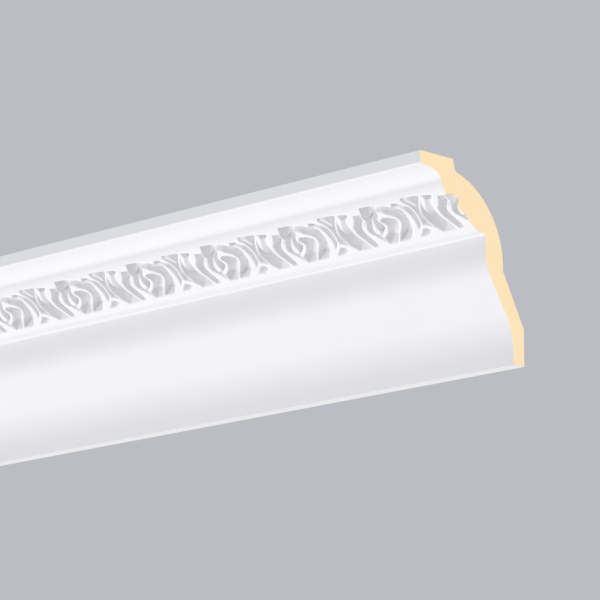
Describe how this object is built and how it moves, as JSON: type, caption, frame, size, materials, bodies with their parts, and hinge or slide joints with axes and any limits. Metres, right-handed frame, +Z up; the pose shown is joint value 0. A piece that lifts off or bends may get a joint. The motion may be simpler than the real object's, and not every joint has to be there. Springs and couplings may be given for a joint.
{
  "type": "cornice moulding",
  "caption": "Straight length of white cornice moulding with a carved leaf-and-shell band, for the corner between wall and ceiling.",
  "frame": {"origin": "centre of the face that is glued to the wall", "axes": "+X along the length, +Y square into the wall, +Z up to the ceiling"},
  "size_m": [0.6208, 0.1, 0.13],
  "materials": {
    "primed_foam": "matt white primer on moulded rigid foam"
  },
  "bodies": {
    "root": {"cornice_moulding": "primed_foam"}
  },
  "joints": []
}
